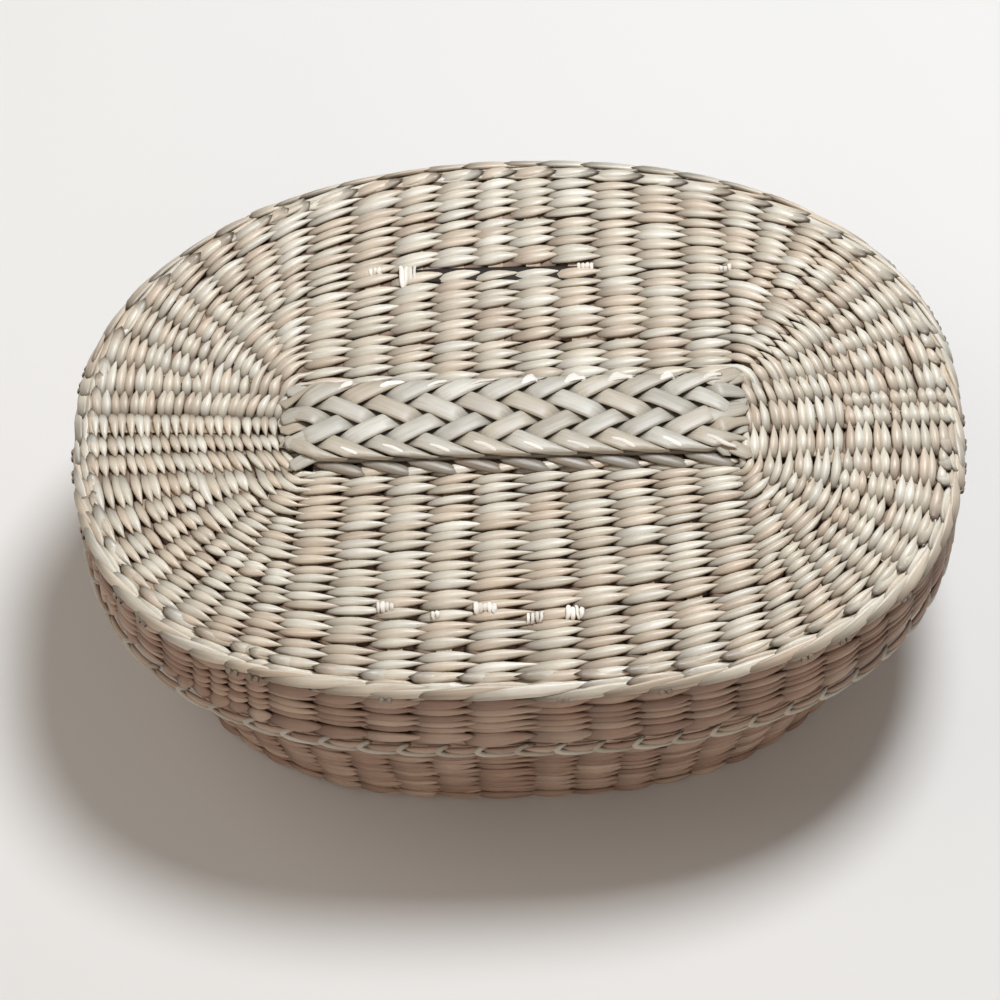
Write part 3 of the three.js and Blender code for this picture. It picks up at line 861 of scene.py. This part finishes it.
# Strands that leave the plait's ends: each end's x, y and rise, and the half width, in millimetres
PLAIT_END_STRANDS = [
    ((57, -8.8, -0.6), (77, -2.6, -3.0), 3.2),
    ((60.5, -11.2, -1.0), (69.5, -21.5, -3.0), 2.4),
    ((63, 5.5, -0.8), (75, 11.5, -3.6), 2.8),
    ((-79, -13, -3.6), (-64, -8.5, -0.9), 2.6),
    ((-80, -3.5, -3.4), (-69, -1.0, -1.6), 2.4),
    ((64, -15.5, -2.6), (77, -21.5, -3.6), 2.6),
    ((-64, -15.5, -2.6), (-77, -21.5, -3.6), 2.6),
    ((66, 6, -2.6), (76, 9.5, -3.6), 2.4),
    ((-66, 6, -2.6), (-78, 8.5, -3.6), 2.4),
]


def near_roll(x, jog, curl, rng):
    path = [Vector((x + along * MM + jog * share, PLAIT_NEAR + (inward + more * curl) * MM,
                    PLAIT_HIGH + rise * MM)) for along, share, inward, more, rise in NEAR_ROLL]
    return sliver(path, (0.5 + 0.5 * curl) * MM, 0.5 * MM, rng)


def far_fray(x, jog, k, rng):
    path = [Vector((x + along * MM + jog * share + k * step * MM, PLAIT_FAR + outward * MM + k * more * MM,
                    PLAIT_HIGH + rise * MM)) for along, share, step, outward, more, rise in FAR_FRAY]
    return sliver(path, rng.uniform(0.5, 1.1) * MM, 0.4 * MM, rng)


def lower_leaf(x, rng):
    path = [Vector((x + along * MM, PLAIT_NEAR + inward * MM, PLAIT_REST + rise * MM))
            for along, inward, rise in LOWER_LEAF]
    # painted shade of 0.3: these leaves lie under the plait's near edge
    return sliver(path, 2.5 * MM, 0.9 * MM, rng, shade=0.3, blunt=0.4)


def end_strand(start, end, width, rng):
    start, end = (Vector((x * MM, y * MM, PLAIT_HIGH + rise * MM)) for x, y, rise in (start, end))
    middle = (start + end) / 2 + Vector((0, 0, 0.7 * MM))
    return sliver([start, middle, end], width * MM, 0.6 * MM, rng, blunt=0.2)


def plait_edges():
    """Rolled edges where the strands fold and frayed bits on the far side, both painted near-white as
    highlight on the folds, and the row of leaves below the near side, in painted shade."""
    rng = random.Random(52)
    rolled, lower = [], []
    for i in range(-EDGE_FOLDS, EDGE_FOLDS + 1):
        x = (2 * i + 0.2) * PLAIT_STEP
        jog = rng.uniform(-1.6, 1.6) * MM
        curl = rng.uniform(0.5, 1)
        rolled.append(near_roll(x, jog, curl, rng))
        for k in range(rng.choice((1, 2, 3))):
            rolled.append(far_fray(x, jog, k, rng))
        lower.append(lower_leaf(x, rng))
    ends = [end_strand(start, end, width, rng) for start, end, width in PLAIT_END_STRANDS]
    wound("plait_end_strands", ends, pale, "lid", round_power=0.75)
    # the rolled and frayed folds are painted near-white as highlight
    wound("plait_rolled_edges", rolled, pith_and_painted_highlight, "lid")
    wound("plait_lower_leaves", lower, straw, "lid")


# Stake ends that show on the lid: x, y, how many strips each has, and half of its length, in millimetres
STAKE_ENDS = [(-36.1, 55.0, 4, 4.4), (24.7, 56.9, 4, 1.7), (72.7, 54.6, 3, 1.4), (-47.4, 57.0, 3, 1.5),
              (-45.8, -72.7, 4, 2.0), (-13.4, -74.2, 5, 2.2), (2.6, -77.9, 4, 1.8), (15.6, -76.7, 4, 2.3),
              (-29.6, -76.2, 2, 1.4)]
STRIP_STEP = 1.45 * MM
STRIP_RISE = 0.4 * MM
# Shares of a strip's lean and of half its length, and its rise in millimetres
STRIP_PATH = [(-1, -1, -1.2), (0, -0.5, 0.5), (0, 0.5, 0.7), (1, 1, -0.8)]
# How far out of the skirt and how far above its top each point of an end below the edge lies
LOW_END_PATH = [(-1.2, 2.0), (-0.2, 0.9), (-0.2, -0.6), (-1.3, -1.8)]
LOW_END_SHARE, LOW_END_APART = 0.45, 1.2 * MM


def ends_on_top(rng):
    """White ends of stakes that come up between two courses of the lid."""
    strips = []
    for x, y, count, length in STAKE_ENDS:
        for k in range(count):
            at = Vector((x * MM + (k - (count - 1) / 2) * STRIP_STEP, (y + rng.uniform(-0.5, 0.5)) * MM,
                         LID_TOP + STRIP_RISE))
            long = length * rng.uniform(0.65, 1.2) * MM
            lean = rng.uniform(-0.9, 0.9) * MM
            path = [at + Vector((lean * aside, long * along, rise * MM)) for aside, along, rise in STRIP_PATH]
            strips.append(sliver(path, rng.uniform(0.5, 1) * MM, 0.35 * MM, rng, blunt=0.25))
    return strips


def end_below_edge(angle):
    """The stations of a stake's flat end, which lies over the top of the skirt."""
    points = [skirt_point(angle, grow * MM, SKIRT_TOP + rise * MM) for grow, rise in LOW_END_PATH]
    ahead = (points[2] - points[1]).normalized()
    aside = (skirt_point(angle + 0.01, 0, SKIRT_TOP) - points[1]).normalized()
    aside = (aside - ahead * aside.dot(ahead)).normalized()
    stations = []
    for i in range(ALONG + 1):
        s = i / ALONG
        leg, part = leg_at(points, s)
        swell = (4 * s * (1 - s)) ** 0.25 if 0 < i < ALONG else 0
        # Each end is painted with a fixed shade of 0.35, as shade under the lid's edge
        stations.append((points[leg].lerp(points[leg + 1], part), aside * 0.9 * MM * swell,
                         ahead.cross(aside) * 0.3 * MM * max(swell, THINNEST), 0.35))
    return stations


def ends_below_edge(rng):
    """Pairs of stake ends below the lid's edge, in some of the columns."""
    gaps = closed(columns(shoulder(0), 1))
    pairs = []
    for left, right in zip(gaps, gaps[1:]):
        if rng.random() > LOW_END_SHARE:
            continue
        width = (skirt_point(right, 0, SKIRT_TOP) - skirt_point(left, 0, SKIRT_TOP)).length
        for k in (-1, 1):
            angle = (left + right) / 2 + k * (right - left) * LOW_END_APART / width
            pairs.append((end_below_edge(angle), tint_of(rng)))
    return pairs


def stake_ends():
    rng = random.Random(55)
    wound("stake_ends_on_top", ends_on_top(rng), pith_and_painted_highlight, "lid")
    wound("stake_ends_below_edge", ends_below_edge(rng), straw, "lid")


# The base

WALL_MARGIN, WALL_COURSE = 1.6 * MM, 3.7 * MM
WALL_WIDTH = 0.63
FLOOR_COURSES = 20
FLOOR_WIDTH = 0.56
FOOT_COURSES = 5


def base_wall():
    low, high = WALL_FOOT + WALL_MARGIN, WALL_TOP - WALL_MARGIN
    rows = even_rows(round((high - low) / WALL_COURSE) + 1)
    outside = course_stitches(wall(0, low, high), rows, WALL_WIDTH, 1, random.Random(61), point=SIDE_POINT)
    # painted shade: the base wall takes the darker shaded copy of the rush
    piece = wound("base_wall_stitches", outside, shaded, "base")
    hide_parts("base_wall_weave")
    inside = course_stitches(wall(-WEAVE_THICKNESS, low, high), rows, INSIDE_WIDTH, -1, random.Random(62),
                             slant=-SLANT)
    # painted shade: the wall's inside takes the darker inner copy of the rush
    wound("base_wall_inside_stitches", inside, inner, "base")


def base_floor_weave():
    rows = even_rows(FLOOR_COURSES)
    upper = course_stitches(base_floor(FLOOR_HIGH.z), rows, FLOOR_WIDTH, 1, random.Random(71))
    # painted shade: both faces of the floor take the darker inner copy of the rush
    piece = wound("base_floor_stitches", upper, inner, "base")
    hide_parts("base_floor_weave")
    lower = course_stitches(base_floor(FLOOR_LOW.z), rows, UNDERSIDE_WIDTH, -1, random.Random(72),
                            slant=-SLANT)
    wound("base_underside_stitches", lower, inner, "base")


def base_foot():
    strands = course_stitches(foot_turn, even_rows(FOOT_COURSES), INSIDE_WIDTH, 1, random.Random(81))
    upper = wall(-1 * MM, WALL_FOOT - 2.6 * MM, WALL_FOOT + 0.4 * MM)
    strands += course_stitches(upper, even_rows(2), INSIDE_WIDTH, 1, random.Random(82))
    # painted shade: the foot takes the darker inner copy of the rush
    piece = wound("base_foot_strands", strands, inner, "base")
    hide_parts("base_foot_wale")


def base_rim():
    """The braided top edge: three rows of strands that each pass two stakes."""
    rng = random.Random(91)
    gaps = columns(rim_turn, 0.5)
    ahead = closed(gaps, 4)
    strands = [leaf(rim_turn, ahead[i], ahead[i + 2], t, 0.5, 2.3 * MM, -1, rng,
                    lap=0.1, slant=0.3, thick=0.9 * MM, sink=0.8 * MM)
               for i in range(len(gaps)) for t in (0.08, 0.5, 0.92)]
    piece = wound("base_rim_strands", strands, pale, "base")
    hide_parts("base_rim_braid")


def stakes():
    """The stakes inside the weave keep their solids, and get the finish of the stalks."""
    for name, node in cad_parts.items():
        if "stake" in name:
            node.data.materials.clear()
            node.data.materials.append(stake_rush)


# The studio

# Each lamp's name, place, width, power in watts, and colour
LAMPS = [
    ("key", (0.22, 0.34, 1.14), 0.35, 14.8, "#f1f7ff"),
    ("fill", (-0.8, 0.1, 1.1), 0.9, 3, "#fff8f0"),
    ("front", (-0.2, -1.3, 0.45), 0.9, 4.5, "#ffeee2"),
]
LAMPS_AIM = Vector((0, 0, 0.05))
WORLD_COLOUR, WORLD_STRENGTH = "#f4f2ef", 0.22

CAMERA_ELEVATION, CAMERA_AZIMUTH = math.radians(60.54), math.radians(-1.78)
CAMERA_DISTANCE = 1.1453
CAMERA_AIM = Vector((0, 0, 52 * MM))
CAMERA_LENS, CAMERA_SENSOR = 118.5, 36
# How far the camera stands left of and below the place that it would have in line with its aim, in
# millimetres
CAMERA_LEFT, CAMERA_DOWN = 6.27, 5.33


def lamp(name, place, size, power, colour):
    data = bpy.data.lights.new(name, "AREA")
    data.shape = "DISK"
    data.size = size
    data.energy = power
    data.color = linear(colour)[:3]
    light = bpy.data.objects.new(name, data)
    bpy.context.collection.objects.link(light)
    light.location = place
    light.rotation_euler = (LAMPS_AIM - Vector(place)).to_track_quat("-Z", "Y").to_euler()


def studio():
    bpy.ops.mesh.primitive_plane_add(size=6)
    floor = bpy.context.object
    floor.name = "floor"
    floor.data.materials.append(pale_floor())
    world = bpy.data.worlds.new("studio")
    bpy.context.scene.world = world
    world.use_nodes = True
    world.node_tree.nodes["Background"].inputs[0].default_value = linear(WORLD_COLOUR)
    world.node_tree.nodes["Background"].inputs[1].default_value = WORLD_STRENGTH
    for settings in LAMPS:
        lamp(*settings)


def camera():
    """The photograph's viewpoint: from above and in front, through a long lens."""
    level = math.cos(CAMERA_ELEVATION)
    back = Vector((math.sin(CAMERA_AZIMUTH) * level, -math.cos(CAMERA_AZIMUTH) * level,
                   math.sin(CAMERA_ELEVATION)))
    right = Vector((math.cos(CAMERA_AZIMUTH), math.sin(CAMERA_AZIMUTH), 0))
    up = back.cross(right)
    data = bpy.data.cameras.new("camera")
    data.lens = CAMERA_LENS
    data.sensor_width = CAMERA_SENSOR
    data.clip_start = 0.05
    eye = bpy.data.objects.new("camera", data)
    bpy.context.collection.objects.link(eye)
    eye.location = CAMERA_AIM + back * CAMERA_DISTANCE - right * CAMERA_LEFT * MM - up * CAMERA_DOWN * MM
    eye.rotation_mode = "QUATERNION"
    eye.rotation_quaternion = (-back).to_track_quat("-Z", "Y")
    bpy.context.scene.camera = eye


camera()
studio()
lid_top()
lid_skirt()
lid_wale()
lid_hem()
plait()
plait_edges()
stake_ends()
base_wall()
base_floor_weave()
base_foot()
base_rim()
stakes()

bpy.context.scene.view_settings.view_transform = "Standard"
